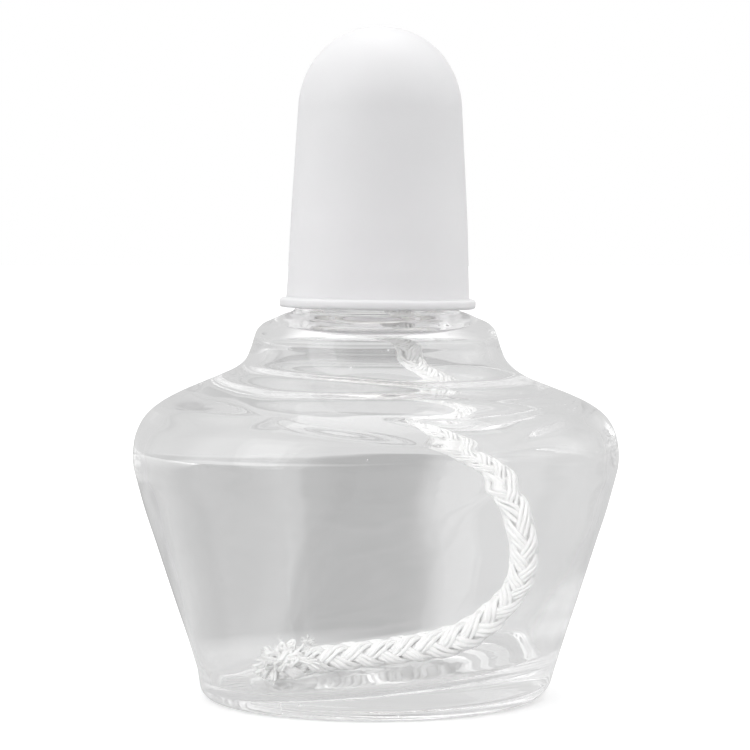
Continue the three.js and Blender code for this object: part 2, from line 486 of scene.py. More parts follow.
# ---------------------------------------------------------------------------------------------
# glass reservoir
# ---------------------------------------------------------------------------------------------
GLASS_SEGMENTS = 228
GLASS_TOP = 80.0
NECK_RADIUS = 13.5
BORE_RADIUS = 10.0
LIP_OUTER_ROUND = 1.3
LIP_INNER_ROUND = 1.0
HEEL_CENTRE = 27.0
HEEL_ROUND = 3.6
NOTCHES = 76

# (radius, z) up the outside, heel to neck
OUTER_WALL = [
    [31.0, 5.2], [34.8, 16.9], [38.1, 27.3], [39.8, 32.4], [41.2, 37.4], [41.85, 40.0],
    [42.0, 42.0], [41.75, 44.6], [41.0, 46.9], [39.6, 49.0], [37.2, 50.9], [33.9, 52.6],
    [30.0, 54.2], [26.6, 55.6], [24.2, 56.9], [22.6, 58.4], [21.7, 60.4], [21.1, 62.3],
    [20.6, 63.6], [19.5, 64.7], [17.8, 65.5], [15.9, 66.35], [14.35, 66.95], [13.62, 68.2],
    [NECK_RADIUS, 70.2],
]
# (radius, z) down the inside, neck to floor
INNER_WALL = [
    [BORE_RADIUS, 67.8], [10.5, 66.29], [12.38, 64.95], [15.18, 63.95], [17.6, 63.06],
    [18.86, 61.73], [19.32, 59.93], [20.13, 57.84], [21.84, 55.8], [24.93, 54.07],
    [29.02, 52.37], [33.31, 50.47], [36.6, 48.68], [38.71, 46.59], [39.66, 44.48],
    [40.0, 42.26], [39.63, 39.24], [38.06, 33.8], [35.85, 27.0], [32.6, 16.8], [29.6, 8.4],
]
# ridges inside the shoulder at the front: (x, z) along each, then depth and half width
FOLDS = [
    (
        [(-22.2, 48.9), (-14.7, 49.33), (-7.4, 48.61), (3.8, 47.14), (11.9, 46.12),
         (16.7, 45.83), (20.8, 46.14), (26.9, 47.94), (31.5, 48.91)],
        0.24, 1.15,
    ),
    ([(-20.0, 52.13), (-12.5, 52.81), (-5.1, 53.15), (3.9, 53.31), (12.2, 53.11)], 0.20, 0.80),
    ([(-11.5, 51.3), (-5.0, 50.93), (3.9, 50.37), (15.2, 49.32)], 0.20, 0.85),
]
# bubbles in the front wall: x, z, distance from the axis, radius, stretch along z
BUBBLES = [
    (2.0, 60.7, 20.3, 0.20, 1.0), (-4.1, 57.6, 21.6, 0.20, 1.0), (-1.4, 44.0, 40.9, 0.17, 1.0),
    (17.6, 59.2, 20.6, 0.16, 1.0), (12.0, 63.0, 19.4, 0.13, 1.3), (-14.5, 2.3, 24.0, 0.18, 1.6),
    (3.5, 1.9, 26.0, 0.15, 1.4), (-25.0, 23.5, 35.9, 0.13, 1.0), (6.0, 2.2, 15.0, 0.2, 1.2),
    (-9.0, 2.1, 9.0, 0.14, 1.2),
]


def floor_at(x):
    """Height of the glass floor inside the reservoir."""
    return FLOOR_HEIGHT + FLOOR_RISE * x / FLOOR_RUN


def glass_profiles():
    """The outside from the foot's centre to the lip, and the inside back down to the floor."""
    outer = chain(
        line([0, 0.9], [12, 0.9], 10)[:-1],
        catmull([[12, 0.9], [16.5, 0.88], [19.3, 0.68], [20.9, 0.28], [21.6, 0.02]], 4),
        line([22.0, 0.0], [HEEL_CENTRE, 0.0], 10),
        arc(HEEL_CENTRE, HEEL_ROUND, HEEL_ROUND, -90, -14, 14),
        catmull(OUTER_WALL, 7),
        line(OUTER_WALL[-1], [NECK_RADIUS, 78.5], 6),
        arc(NECK_RADIUS - LIP_OUTER_ROUND, GLASS_TOP - LIP_OUTER_ROUND, LIP_OUTER_ROUND, 0, 90, 8),
    )
    lip_z = GLASS_TOP - LIP_INNER_ROUND
    inner = chain(
        arc(BORE_RADIUS + LIP_INNER_ROUND, lip_z, LIP_INNER_ROUND, 90, 180, 7),
        line([BORE_RADIUS, lip_z], INNER_WALL[0], 8),
        catmull(INNER_WALL, 7),
        arc(25.9, 7.6, 3.3, -8, -90, 12),
        catmull([[25.9, 4.3], [22.0, 4.12], [18.0, 4.03], [14.0, FLOOR_HEIGHT]], 5),
        line([14.0, FLOOR_HEIGHT], [0, FLOOR_HEIGHT], 12),
    )
    return outer, inner


def shape_glass(verts, inner):
    """Takes the turned body away from a perfect lathe shape. inner marks the inside's vertices."""
    x, y, z = verts.T
    radius, angle = polar(verts)
    side = x / np.maximum(radius, 1e-6)  # -1 at the left, +1 at the right
    new_radius, new_z = radius.copy(), z.copy()

    # inner floor settled thicker on the +X side, as in the CAD
    fade = np.clip((22 - z) / (22 - INNER_WALL[-1][1]), 0, 1)
    new_z += (inner & (z < 22)) * (FLOOR_RISE * x * fade / FLOOR_RUN)

    # outer heel: a tighter corner at the left, a fuller one at the right
    heel = ~inner & (z < 3.7) & (radius > 26.4)
    corner = HEEL_ROUND + 0.9 * side
    turn = np.arctan2(z - HEEL_ROUND, radius - HEEL_CENTRE)
    heel_radius = (HEEL_CENTRE + HEEL_ROUND - corner) + corner * np.cos(turn)
    heel_z = corner + corner * np.sin(turn)
    weight = smoothstep(26.4, 27.0, radius)
    below_wall = smoothstep(3.7, 2.6, z)
    new_radius += heel * ((heel_radius - radius) * weight * below_wall)
    new_z += (heel & (z > 1e-3)) * ((heel_z - z) * weight * below_wall)

    # standing ring: shallow radial notches
    ring = ~inner & (z < 0.02) & (radius > 21.8)
    notch = 0.5 + 0.5 * np.cos(NOTCHES * angle)
    ring_fade = smoothstep(22.2, 23.2, radius) * smoothstep(26.6, 25.8, radius)
    new_z += ring * (0.07 * notch * ring_fade)

    # the shoulder stands a little higher on the left than on the right
    new_z -= 0.40 * side * np.exp(-(((z - 55.5) / 6.0) ** 2)) * smoothstep(20, 27, radius)

    # blown walls are never quite even: a slow wander outside and a stronger one inside
    outer_field = sine_field(seed=11, count=14, max_turns=4, max_waves=2.0, span=60.0)
    inner_field = sine_field(seed=23, count=18, max_turns=5, max_waves=3.0, span=60.0)
    shoulder_field = sine_field(seed=37, count=16, max_turns=3, max_waves=3.0, span=16.0)
    wall = smoothstep(5.0, 12.0, z) * smoothstep(79, 66, z)
    new_radius += ~inner * (0.05 * outer_field(angle, z) * wall)
    new_radius += inner * (0.16 * inner_field(angle, z) * wall)
    shoulder = np.exp(-(((z - 55.0) / 7.0) ** 2)) * smoothstep(18.5, 24, radius)
    new_z += inner * (0.55 * shoulder_field(angle, radius + 0.4 * z) * shoulder)

    # folds inside the shoulder: long shallow ridges across the front
    front = inner & (y < -8) & (radius > 21)
    for path, depth, half_width in FOLDS:
        path_x, path_z = np.array(path).T
        ends = smoothstep(path_x[0] - 1.0, path_x[0] + 3.5, x)
        ends = ends * smoothstep(path_x[-1] + 1.0, path_x[-1] - 3.5, x)
        ridge = np.exp(-(((z - np.interp(x, path_x, path_z)) / half_width) ** 2)) * ends
        new_z -= front * (depth * ridge)

    floor = inner & (z < 6.5) & (radius < 27)
    floor_field = sine_field(seed=51, count=10, max_turns=4, max_waves=2.0, span=30.0)
    floor_fade = smoothstep(2, 9, radius) * smoothstep(28, 22, radius)
    new_z += floor * (0.10 * floor_field(angle, radius) * floor_fade)

    on_axis = radius < 1e-6
    new_x = np.where(on_axis, 0, new_radius * np.cos(angle))
    new_y = np.where(on_axis, 0, new_radius * np.sin(angle))
    return np.stack([new_x, new_y, new_z], 1)


def build_glass():
    outer, inner = glass_profiles()
    verts, faces, rows = lathe(chain(outer, inner), GLASS_SEGMENTS)
    is_inner = np.arange(len(verts)) >= rows[len(outer)][0]
    body = Bundle()
    body.add(shape_glass(verts, is_inner), faces)
    for x, z, distance, size, stretch in BUBBLES:
        y = -math.sqrt(max(distance * distance - x * x, 0.0))
        angles = np.linspace(0, math.pi, 9)
        outline = [(size * math.sin(a), -size * stretch * math.cos(a)) for a in angles]
        verts, faces, _ = lathe(outline, 12)
        # turned inside out, because a bubble is a hole in the glass
        body.add(verts + np.array([x, y, z]), [face[::-1] for face in faces])
    piece = body.make_object("reservoir_glass", 42, glass_material())
    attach(piece, "reservoir")
    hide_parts("glass_reservoir")


# ---------------------------------------------------------------------------------------------
# porcelain wick holder
# ---------------------------------------------------------------------------------------------
HOLDER_BORE = 3.15
STEM_RADIUS = 4.8
HOLDER_BOTTOM = 74.5
HOLDER_TOP = 89.0
PLUG_RADIUS = 9.2
PLUG_BOTTOM = 76.2
FLANGE_RADIUS = 12.7
FLANGE_BOTTOM = 80.3  # just clear of the glass lip


def build_holder():
    profile = chain(
        arc(HOLDER_BORE + 0.45, HOLDER_BOTTOM + 0.45, 0.45, 180, 270, 5),
        arc(STEM_RADIUS - 0.5, HOLDER_BOTTOM + 0.5, 0.5, -90, 0, 6),
        line([STEM_RADIUS, 75.1], [STEM_RADIUS, 75.6], 2),
        catmull(
            [[STEM_RADIUS, 75.6], [5.15, 76.05], [6.2, PLUG_BOTTOM], [7.3, PLUG_BOTTOM]], 4
        ),
        arc(PLUG_RADIUS - 0.8, PLUG_BOTTOM + 0.8, 0.8, -90, 0, 7),
        line([PLUG_RADIUS, 77.2], [PLUG_RADIUS, 79.9], 4),
        catmull([[PLUG_RADIUS, 79.9], [9.35, 80.2], [9.8, FLANGE_BOTTOM]], 3),
        line([9.8, FLANGE_BOTTOM], [12.1, FLANGE_BOTTOM], 3),
        arc(FLANGE_RADIUS - 0.6, FLANGE_BOTTOM + 0.6, 0.6, -90, 0, 6),
        line([FLANGE_RADIUS, 81.0], [FLANGE_RADIUS, 81.9], 2),
        arc(FLANGE_RADIUS - 1.0, 81.9, 1.0, 0, 78, 8),
        catmull(
            [
                [11.8, 82.93], [9.6, 83.1], [7.4, 83.25], [6.0, 83.75],
                [5.2, 84.7], [4.86, 86.0], [STEM_RADIUS, 87.2],
            ],
            6,
        ),
        line([STEM_RADIUS, 87.3], [STEM_RADIUS, 88.3], 2),
        arc(STEM_RADIUS - 0.7, HOLDER_TOP - 0.7, 0.7, 0, 90, 7),
        arc(HOLDER_BORE + 0.5, HOLDER_TOP - 0.5, 0.5, 90, 180, 6),
        line([HOLDER_BORE, 88.4], [HOLDER_BORE, 75.05], 10),
    )
    verts, faces, _ = lathe(profile, 128)
    # pressed porcelain: slightly uneven everywhere but in the bore
    radius, angle = polar(verts)
    field = sine_field(seed=71, count=8, max_turns=4, max_waves=1.5, span=20.0)
    verts = push_out(verts, angle, 0.05 * field(angle, verts[:, 2]) * smoothstep(4.4, 4.8, radius))
    piece = mesh_object("porcelain_holder", verts, faces, 50, porcelain_material())
    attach(piece, "holder")
    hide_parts("wick_holder")
    return piece


# ---------------------------------------------------------------------------------------------
# cap
# ---------------------------------------------------------------------------------------------
CAP_SEGMENTS = 160
CAP_WALL = 1.35
CAP_RIM = 67.3
CAP_TOP = 115.7
DOME_START = 101.0
DOME_RADIUS = 14.1
CAP_LEAN_DEG = 0.75
CAP_SHIFT = 0.28


def dome(radius, height, steps, end=90.0):
    """The cap's dome from its start up to an angle in degrees, a little fuller than an ellipse."""
    angle = np.radians(np.linspace(0.0, end, steps + 1))
    return np.stack([radius * np.cos(angle) ** 0.94, DOME_START + height * np.sin(angle)], 1)


def cap_profiles():
    """The outside from the rim's inner edge to the top, and the inside back down to it."""
    rim, top, wall = CAP_RIM, CAP_TOP, CAP_WALL
    outside = chain(
        [[14.62, rim + 0.10], [14.85, rim]],
        line([14.85, rim], [16.35, rim], 3),
        arc(16.40, rim + 0.48, 0.48, -88, -6, 7),
        line([16.89, rim + 0.55], [16.88, rim + 1.22], 3),
        arc(16.46, rim + 1.24, 0.41, 4, 84, 6),
        catmull(
            [
                [16.3, rim + 1.66], [16.0, rim + 1.69], [15.83, rim + 1.78],
                [15.75, rim + 2.05], [15.70, rim + 2.6], [15.64, 70.9],
            ],
            4,
        ),
        catmull(
            [
                [15.64, 70.9], [15.25, 80.0], [14.92, 86.5],
                [14.6, 92.0], [14.33, 97.0], [DOME_RADIUS, DOME_START],
            ],
            7,
        ),
        dome(DOME_RADIUS, top - DOME_START, 40, end=85.0)[1:],
        # gate vestige: a shallow ring-shaped sink with a small nub left by the mould's sprue
        [
            [1.05, top - 0.05], [0.95, top - 0.18], [0.62, top - 0.21],
            [0.45, top - 0.10], [0.30, top - 0.02], [0.0, top],
        ],
    )
    inside = chain(
        dome(DOME_RADIUS - wall, top - DOME_START - wall, 26)[::-1],
        catmull(
            [
                [DOME_RADIUS - wall, DOME_START], [14.6 - wall, 92.0],
                [15.25 - wall, 80.0], [15.64 - wall, 73.3],
            ],
            6,
        ),
        catmull(
            [
                [14.29, 73.3], [14.12, 72.75], [13.97, 72.3], [13.95, 71.9],
                [13.97, 71.5], [14.12, 71.0], [14.36, 70.5],
            ],
            4,
        ),
        line([14.38, 70.4], [14.4, 67.6], 4),
        [[14.45, rim + 0.22], [14.62, rim + 0.10]],
    )
    return outside, inside


def build_cap():
    outside, inside = cap_profiles()
    outer_verts, faces, _ = lathe(outside, CAP_SEGMENTS)
    inner_verts, inner_faces, _ = lathe(inside, CAP_SEGMENTS)
    # the inside's last ring is the outside's first: drop it and let its indices wrap round
    verts = np.vstack([outer_verts, inner_verts[:-CAP_SEGMENTS]])
    offset, total = len(outer_verts), len(verts)
    faces += [tuple((offset + i) % total for i in face) for face in inner_faces]

    radius, angle = polar(verts)
    field = sine_field(seed=91, count=10, max_turns=3, max_waves=1.2, span=50.0)
    away = smoothstep(3, 12, radius)
    uneven = 0.07 * field(angle, verts[:, 2]) * away + 0.05 * np.cos(2 * angle + 0.6) * away
    verts = push_out(verts, angle, uneven)
    # it sits loose on the mouth: a little off centre and leaning to the right
    lean = math.radians(CAP_LEAN_DEG)
    pivot_z = CAP_RIM + 1.5
    x, rise = verts[:, 0].copy(), verts[:, 2] - pivot_z
    verts[:, 0] = x * math.cos(lean) + rise * math.sin(lean) + CAP_SHIFT
    verts[:, 2] = pivot_z - x * math.sin(lean) + rise * math.cos(lean)
    piece = mesh_object("snuffer_cap", verts, faces, 44, cap_material())
    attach(piece, "snuffer")
    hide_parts("cap")
    return piece


# ---------------------------------------------------------------------------------------------
# braided wick: its centre line and the shape of the braid
# ---------------------------------------------------------------------------------------------
# (x, z) from the burning end down to the cut end, in the plane y = 0
WICK = [
    [0.0, 94.2], [0.0, 88.0], [0.0, 82.0], [0.0, 77.5], [0.0, 74.6], [0.08, 73.0], [0.6, 71.4],
    [2.0, 69.0], [3.5, 66.3], [4.5, 63.4], [5.2, 60.0], [6.4, 56.0], [9.0, 51.0], [13.3, 45.8],
    [18.4, 40.6], [22.6, 35.0], [25.1, 28.9], [25.4, 22.6], [23.8, 16.8], [20.0, 12.2],
    [14.5, 9.25], [8.0, 7.95], [0.0, 7.0], [-8.0, 6.05], [-13.0, 5.5], [-18.5, 5.0],
    [-24.0, 4.6],
]
PATH = catmull(WICK, 40)
PATH_DIST = np.concatenate([[0], np.cumsum(np.linalg.norm(np.diff(PATH, axis=0), axis=1))])
PATH_TANGENT = unit(np.gradient(PATH, PATH_DIST, axis=0))

PITCH = 17.0  # length of one full turn of a strand
BRAID_RADIUS = 1.98
BRAID_SWING = 0.54  # how far a strand moves in and out
YARN_RADIUS = 0.42
YARN_SPACING = 0.78
STRANDS = 4  # each way
STRAND_YARNS = 3
CORE_YARNS = 4


def dist_at(x, z):
    """Distance along the wick of its nearest point to (x, z)."""
    return PATH_DIST[np.argmin((PATH[:, 0] - x) ** 2 + (PATH[:, 1] - z) ** 2)]


# distances where the modelled lengths of wick start and stop
TIP_DIST = 0.7
HOLDER_DIST = dist_at(0.0, 76.5)
NECK_DIST = dist_at(6.0, 57.2)
SIDE_DIST = dist_at(25.4, 24.0)
END_DIST = dist_at(-15.8, 5.25)


def rope_frame(dist):
    """Centre, tangent, in-plane normal and side at distances that may run past the ends."""
    inside = np.clip(dist, 0, PATH_DIST[-1])
    x, z = (np.interp(inside, PATH_DIST, PATH[:, i]) for i in range(2))
    tangent_x, tangent_z = (np.interp(inside, PATH_DIST, PATH_TANGENT[:, i]) for i in range(2))
    length = np.hypot(tangent_x, tangent_z)
    tangent_x, tangent_z = tangent_x / length, tangent_z / length
    beyond = dist - inside
    zero = np.zeros_like(x)
    centre = np.stack([x + tangent_x * beyond, zero, z + tangent_z * beyond], -1)
    tangent = np.stack([tangent_x, zero, tangent_z], -1)
    side = np.stack([zero, zero + 1.0, zero], -1)
    return centre, tangent, np.cross(side, tangent), side


def fullness(dist):
    """How plump the braid is: squeezed in the holder, slack below it, fullest on the floor."""
    slack = 0.045 * smoothstep(HOLDER_DIST + 2, HOLDER_DIST + 9, dist)
    return 0.845 + slack + 0.250 * smoothstep(SIDE_DIST - 12, SIDE_DIST + 14, dist)


def strand_lift(direction, strand, crossing):
    """+1 where the strand lies outside, -1 where it lies inside, over two and under two."""
    if direction > 0:
        return np.cos(math.pi * (crossing + 2 * strand - 0.5) / 2)
    # a strand going the other way counts the crossings backwards
    return -np.cos(math.pi * (-crossing + 2 * strand - 0.5) / 2)


def ripple(dist, length, phase):
    return np.sin(2 * math.pi * dist / length + phase)


def rest_on_floor(points, gap):
    """Lifts points that would sink closer than gap to the glass floor."""
    points[:, 2] = np.maximum(points[:, 2], floor_at(points[:, 0]) + gap)


def braid_yarn(direction, strand, lane, start, stop, tip, fray):
    """One yarn of a strand as a closed tube. lane is -1, 0 or 1 across the strand."""
    rng = np.random.default_rng(1000 + 100 * (direction + 1) + 10 * strand + lane + 1)
    rate = 2 * math.pi / PITCH
    slant = math.atan(rate * BRAID_RADIUS)
    offset = lane * YARN_SPACING + rng.uniform(-0.05, 0.05)
    phase_1, phase_2 = rng.uniform(0, 6.28, 2)
    yarn_start, yarn_stop = start, stop
    if fray:
        yarn_stop = stop + rng.uniform(0.2, 1.6)
    if tip:
        yarn_start = start + rng.uniform(-0.5, 0.45)
    steps = max(4, int(round((yarn_stop - yarn_start) / 0.30)))
    dist = np.linspace(yarn_start, yarn_stop, steps + 1)
    strand_dist = dist + direction * math.sin(slant) * offset
    if direction > 0:
        turn = strand * 2 * math.pi / STRANDS + rate * strand_dist
    else:
        turn = strand * 2 * math.pi / STRANDS + (math.pi / STRANDS - rate * strand_dist)
    lift = strand_lift(direction, strand, 2 * STRANDS * strand_dist / PITCH - 0.5)
    # a softer flank and a flatter top than a plain cosine
    lift = np.sign(lift) * np.abs(lift) ** 0.8
    swing = BRAID_SWING + 0.05 * ripple(dist, 41.0, 1.3 * strand + direction)
    reach = BRAID_RADIUS + swing * lift - 0.13 * offset * offset / 0.36
    reach = reach + 0.045 * ripple(dist, 3.9, phase_1) + 0.03 * ripple(dist, 1.7, phase_2)
    angle = turn + math.cos(slant) * offset / np.maximum(BRAID_RADIUS + 0.3 * lift, 0.8)
    angle = angle + 0.035 * ripple(dist, 5.3, phase_2)
    full = fullness(dist)
    reach = reach * full
    if fray:
        opening = smoothstep(stop - 6.5, yarn_stop, dist)
        reach = reach * (1 + 0.30 * opening)
        angle = angle + 0.5 * opening * math.sin(phase_1)
    if tip:
        reach = reach * (1 + 0.14 * smoothstep(start + 3.0, yarn_start, dist))
    centre, _, normal, side = rope_frame(dist)
    points = centre + reach[:, None] * radial(angle, normal, side)
    if fray:
        rest_on_floor(points, YARN_RADIUS + 0.12)
    thickness = 1 + 0.05 * ripple(dist, 2.3, phase_1) + 0.04 * ripple(dist, 0.9, phase_2)
    radii = YARN_RADIUS * full * thickness * (1.0 - 0.12 * np.clip(-lift, 0, 1))
    if fray:
        radii[-3:] *= np.array([0.95, 0.8, 0.5])
    if tip:
        radii[:3] *= np.array([0.55, 0.85, 0.97])
    return tube(points, radii, 8, u_start=rng.uniform(0, 1))


def braid(start, stop, tip=False, fray=False):
    """All yarns of the braid between two distances, as closed tubes."""
    bundle = Bundle()
    for direction in (1, -1):
        for strand in range(STRANDS):
            for i in range(STRAND_YARNS):
                bundle.add(*braid_yarn(direction, strand, i - 1, start, stop, tip, fray))
    # core yarns that fill the middle
    for core in range(CORE_YARNS):
        steps = max(4, int(round((stop - start) / 0.8)))
        dist = np.linspace(start, stop, steps + 1)
        centre, _, normal, side = rope_frame(dist)
        angle = core * 2 * math.pi / CORE_YARNS + 2 * math.pi * dist / 23.0
        full = fullness(dist)
        points = centre + (0.72 * full)[:, None] * radial(angle, normal, side)
        bundle.add(*tube(points, 0.78 * full, 8))
    return bundle


def add_fuzz(bundle, start, stop, count, seed, shortest=0.35, longest=1.15):
    """Loose fibre ends standing off the braid, each a fine closed tube."""
    rng = np.random.default_rng(seed)
    part = np.linspace(0, 1, 6)
    for _ in range(count):
        dist = rng.uniform(start, stop)
        angle = rng.uniform(0, 2 * math.pi)
        centre, tangent, normal, side = rope_frame(dist)
        outward = radial(angle, normal, side)
        sideways = -math.sin(angle) * normal + math.cos(angle) * side
        length = rng.uniform(shortest, longest)
        lean = rng.normal(0, 0.9)
        swirl = rng.normal(0, 0.9)
        reach = 0.35 + length * (1 - 0.45 * abs(math.tanh(lean)))
        points = (
            centre
            + outward * 2.05
            + outward * (reach * part)[:, None]
            + tangent * (lean * length * 0.8 * part**1.6)[:, None]
            + sideways * (swirl * length * 0.7 * part**2)[:, None]
        )
        rest_on_floor(points, 0.25)
        bundle.add(*tube(points, np.linspace(0.030, 0.012, 6) * rng.uniform(0.8, 1.2), 3))


# ---------------------------------------------------------------------------------------------
# the wick's frayed lower end
# ---------------------------------------------------------------------------------------------
def random_direction(rng, spread=(1.0, 1.0, 1.0)):
    return unit(rng.normal(0, 1, 3) * np.array(spread))


def loose_yarn(bundle, rng, start, direction, length, radius, curl, sides=8, droop=0.5):
    """A sprung yarn that leaves along direction, curls, sags and ends in a few split fibres."""
    direction = unit(direction)
    side = unit(np.cross(direction, rng.normal(0, 1, 3)))
    part = np.linspace(0, 1, 13)
    weave = 0.10 * np.sin(2 * math.pi * part * rng.uniform(1.0, 2.0))
    points = (
        start
        + np.outer(length * part, direction)
        + np.outer(curl * length * part**2 * 0.5, side)
        + np.outer(weave, np.cross(direction, side))
    )
    points[:, 2] -= droop * part**2 * length * 0.22
    rest_on_floor(points, radius + 0.08)
    bundle.add(*tube(points, radius * (1 - 0.45 * part**3), sides, u_start=rng.uniform(0, 1)))
    tip, ahead = points[-1], unit(points[-1] - points[-3])
    part = np.linspace(0, 1, 5)
    for _ in range(4):
        reach = part * rng.uniform(0.4, 0.9)
        fibre = tip - ahead * 0.25 + np.outer(reach, ahead + rng.normal(0, 0.42, 3))
        rest_on_floor(fibre, 0.12)
        bundle.add(*tube(fibre, np.linspace(0.075, 0.02, 5), 4))


def add_star(bundle, rng, heart):
    """Cut yarns in a loose star, fullest away from the braid and towards the front."""
    made = 0
    while made < 78:
        direction = random_direction(rng, spread=(1.35, 1.0, 0.95))
        direction = unit(direction + np.array([-0.25, -0.22, 0.12]))
        if direction[0] > 0.80:
            continue
        reach = 5.3 - 1.3 * max(0.0, direction[2]) - 0.3 * max(0.0, direction[0])
        loose_yarn(
            bundle,
            rng,
            start=heart + rng.normal(0, 0.55, 3) * np.array([1.2, 1.0, 0.8]),
            direction=direction,
            length=reach * rng.uniform(0.55, 1.0),
            radius=rng.uniform(0.32, 0.47),
            curl=rng.uniform(-0.9, 0.9),
        )
        made += 1
    # a dense heart, so that nothing shows through the middle of the tuft
    for _ in range(16):
        direction = random_direction(rng, spread=(1.5, 1.0, 0.6))
        loose_yarn(
            bundle,
            rng,
            start=heart - direction * 1.1,
            direction=direction,
            length=rng.uniform(2.4, 3.4),
            radius=0.55,
            curl=rng.uniform(-0.6, 0.6),
            sides=9,
        )


def add_fallen_yarns(bundle, rng, end):
    """Yarns that have fallen back along the braid and lie over its last turns."""
    for _ in range(24):
        angle = rng.uniform(-0.2 * math.pi, 1.1 * math.pi)
        offset = [0.0, -math.sin(angle) * 1.9 - 0.4, math.cos(angle) * 1.3 + 1.2]
        loose_yarn(
            bundle,
            rng,
            start=end + np.array(offset),
            direction=np.array([1.0, rng.normal(-0.10, 0.22), rng.normal(0.16, 0.16)]),
            length=rng.uniform(4.0, 7.2),
            radius=rng.uniform(0.30, 0.42),
            curl=rng.uniform(-0.5, 0.5),
            droop=0.8,
        )


def add_loops(bundle, rng, heart):
    """Yarns bent back on themselves."""
    part = np.linspace(0, 1, 17)
    for _ in range(16):
        angle = rng.uniform(0, 2 * math.pi)
        sideways = math.cos(angle) * 0.8 - 0.25
        depth = -0.55 + 0.5 * math.sin(angle * 2.0)
        direction = unit(np.array([sideways, depth, math.sin(angle) * 0.75 + 0.15]))
        side = unit(np.cross(direction, rng.normal(0, 1, 3)))
        reach, width = rng.uniform(3.0, 4.8), rng.uniform(0.7, 1.3)
        points = heart + np.outer(reach * np.sin(math.pi * part) ** 0.8, direction)
        points = points + np.outer(width * np.cos(math.pi * part), side)
        rest_on_floor(points, 0.42)
        bundle.add(*tube(points, 0.36, 8, u_start=rng.uniform(0, 1)))


def add_loose_turns(bundle, rng):
    """Loose turns round the opened braid, which thicken its last few millimetres."""
    part = np.linspace(0, 1, 12)
    for _ in range(26):
        centre, tangent, normal, side = rope_frame(END_DIST - rng.uniform(0.6, 5.2))
        first, turn = rng.uniform(0, 2 * math.pi), rng.uniform(-1.7, 1.7)
        reach = 2.45 + 0.75 * np.sin(math.pi * part) * rng.uniform(0.3, 1.0)
        points = centre + np.outer(rng.uniform(1.5, 3.2) * (part - 0.5), tangent)
        points = points + reach[:, None] * radial(first + turn * part, normal, side)
        rest_on_floor(points, 0.38)
        bundle.add(*tube(points, 0.28, 7, u_start=rng.uniform(0, 1)))


def add_standing_yarn(bundle, rng):
    """The yarn that stands up from the braid, with a fluffy end."""
    stations = [
        [-14.6, -2.2, 6.6], [-13.9, -2.7, 7.5], [-13.0, -2.9, 8.5], [-12.2, -2.7, 9.4],
        [-11.7, -2.5, 10.0],
    ]
    path = catmull(stations, 6)
    bundle.add(*tube(path, np.linspace(0.34, 0.27, len(path)), 8))
    head = path[-1] + np.array([0.15, 0.0, 0.25])
    part = np.linspace(0, 1, 6)[:, None]
    for _ in range(95):
        points = head + random_direction(rng) * rng.uniform(0.55, 0.98) * part
        points = points + rng.normal(0, 0.30, 3) * part**2
        bundle.add(*tube(points, 0.13 * (1 - 0.55 * part[:, 0]), 4))


def add_fine_fibres(bundle, rng, heart):
    part = np.linspace(0, 1, 6)
    for _ in range(260):
        direction = random_direction(rng)
        points = heart + direction * rng.uniform(1.5, 4.4) * np.array([1.1, 0.9, 0.8])
        reach = rng.uniform(0.5, 1.7) * part
        points = points + np.outer(reach, direction + rng.normal(0, 0.5, 3))
        points = points + np.outer(part**2, rng.normal(0, 0.4, 3))
        rest_on_floor(points, 0.15)
        bundle.add(*tube(points, np.linspace(0.034, 0.013, 6), 3))


def add_fray(bundle):
    """The cut lower end, sprung open. The parts share one run of random draws."""
    rng = np.random.default_rng(77)
    end = rope_frame(END_DIST)[0]
    heart = end + np.array([-0.1, -1.1, 0.75])
    add_star(bundle, rng, heart)
    add_fallen_yarns(bundle, rng, end)
    add_loops(bundle, rng, heart)
    add_loose_turns(bundle, rng)
    add_standing_yarn(bundle, rng)
    add_fine_fibres(bundle, rng, heart)


def build_wick():
    """Four lengths of braid, each in place of one of the CAD's wick parts."""
    cotton = cotton_material()
    made = []

    def finish(bundle, name, replaced):
        piece = bundle.make_object(name, 60, cotton)
        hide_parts(replaced)
        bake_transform(piece)
        made.append(piece)

    tip = braid(TIP_DIST, HOLDER_DIST, tip=True)
    add_fuzz(tip, TIP_DIST + 0.2, TIP_DIST + 4.2, count=90, seed=5, shortest=0.25, longest=0.7)
    finish(tip, "wick_tube_braid", "wick_tip")

    neck = braid(HOLDER_DIST, NECK_DIST)
    add_fuzz(neck, HOLDER_DIST + 3.0, NECK_DIST, count=90, seed=6)
    finish(neck, "wick_neck_braid", "wick_upper")

    side = braid(NECK_DIST, SIDE_DIST)
    add_fuzz(side, NECK_DIST, SIDE_DIST, count=210, seed=7)
    finish(side, "wick_side_braid", "wick_bend")

    tail = braid(SIDE_DIST, END_DIST, fray=True)
    add_fuzz(tail, SIDE_DIST, END_DIST, count=300, seed=8)
    add_fray(tail)
    finish(tail, "wick_floor_braid", "wick_tail")

    return made


# ---------------------------------------------------------------------------------------------
# studio floor
# ---------------------------------------------------------------------------------------------
FLOOR_HALF = 6000.0
FLOOR_CELLS = 24

# the paper's emission: to the camera it only keeps the floor evenly white; to all other rays it is
# painted light and shade
SEEN_GLOW = 0.25  # to the camera
NEAR_GLOW = 0.54  # to other rays: under the lamp
FAR_GLOW = 0.50  # beyond the card
SPOT_GLOW = 0.20  # the patch behind the foot
STEEP_GLOW = 0.42  # where the paper is looked down on steeply
# the card named below is painted shade and light in the paper's glow, not a real card
PAINTED_CARD_START = (0.040, 0.085)  # y over which the near glow gives way to the card
PAINTED_CARD_END = (0.95, 1.70)  # y over which the card gives way to the far glow
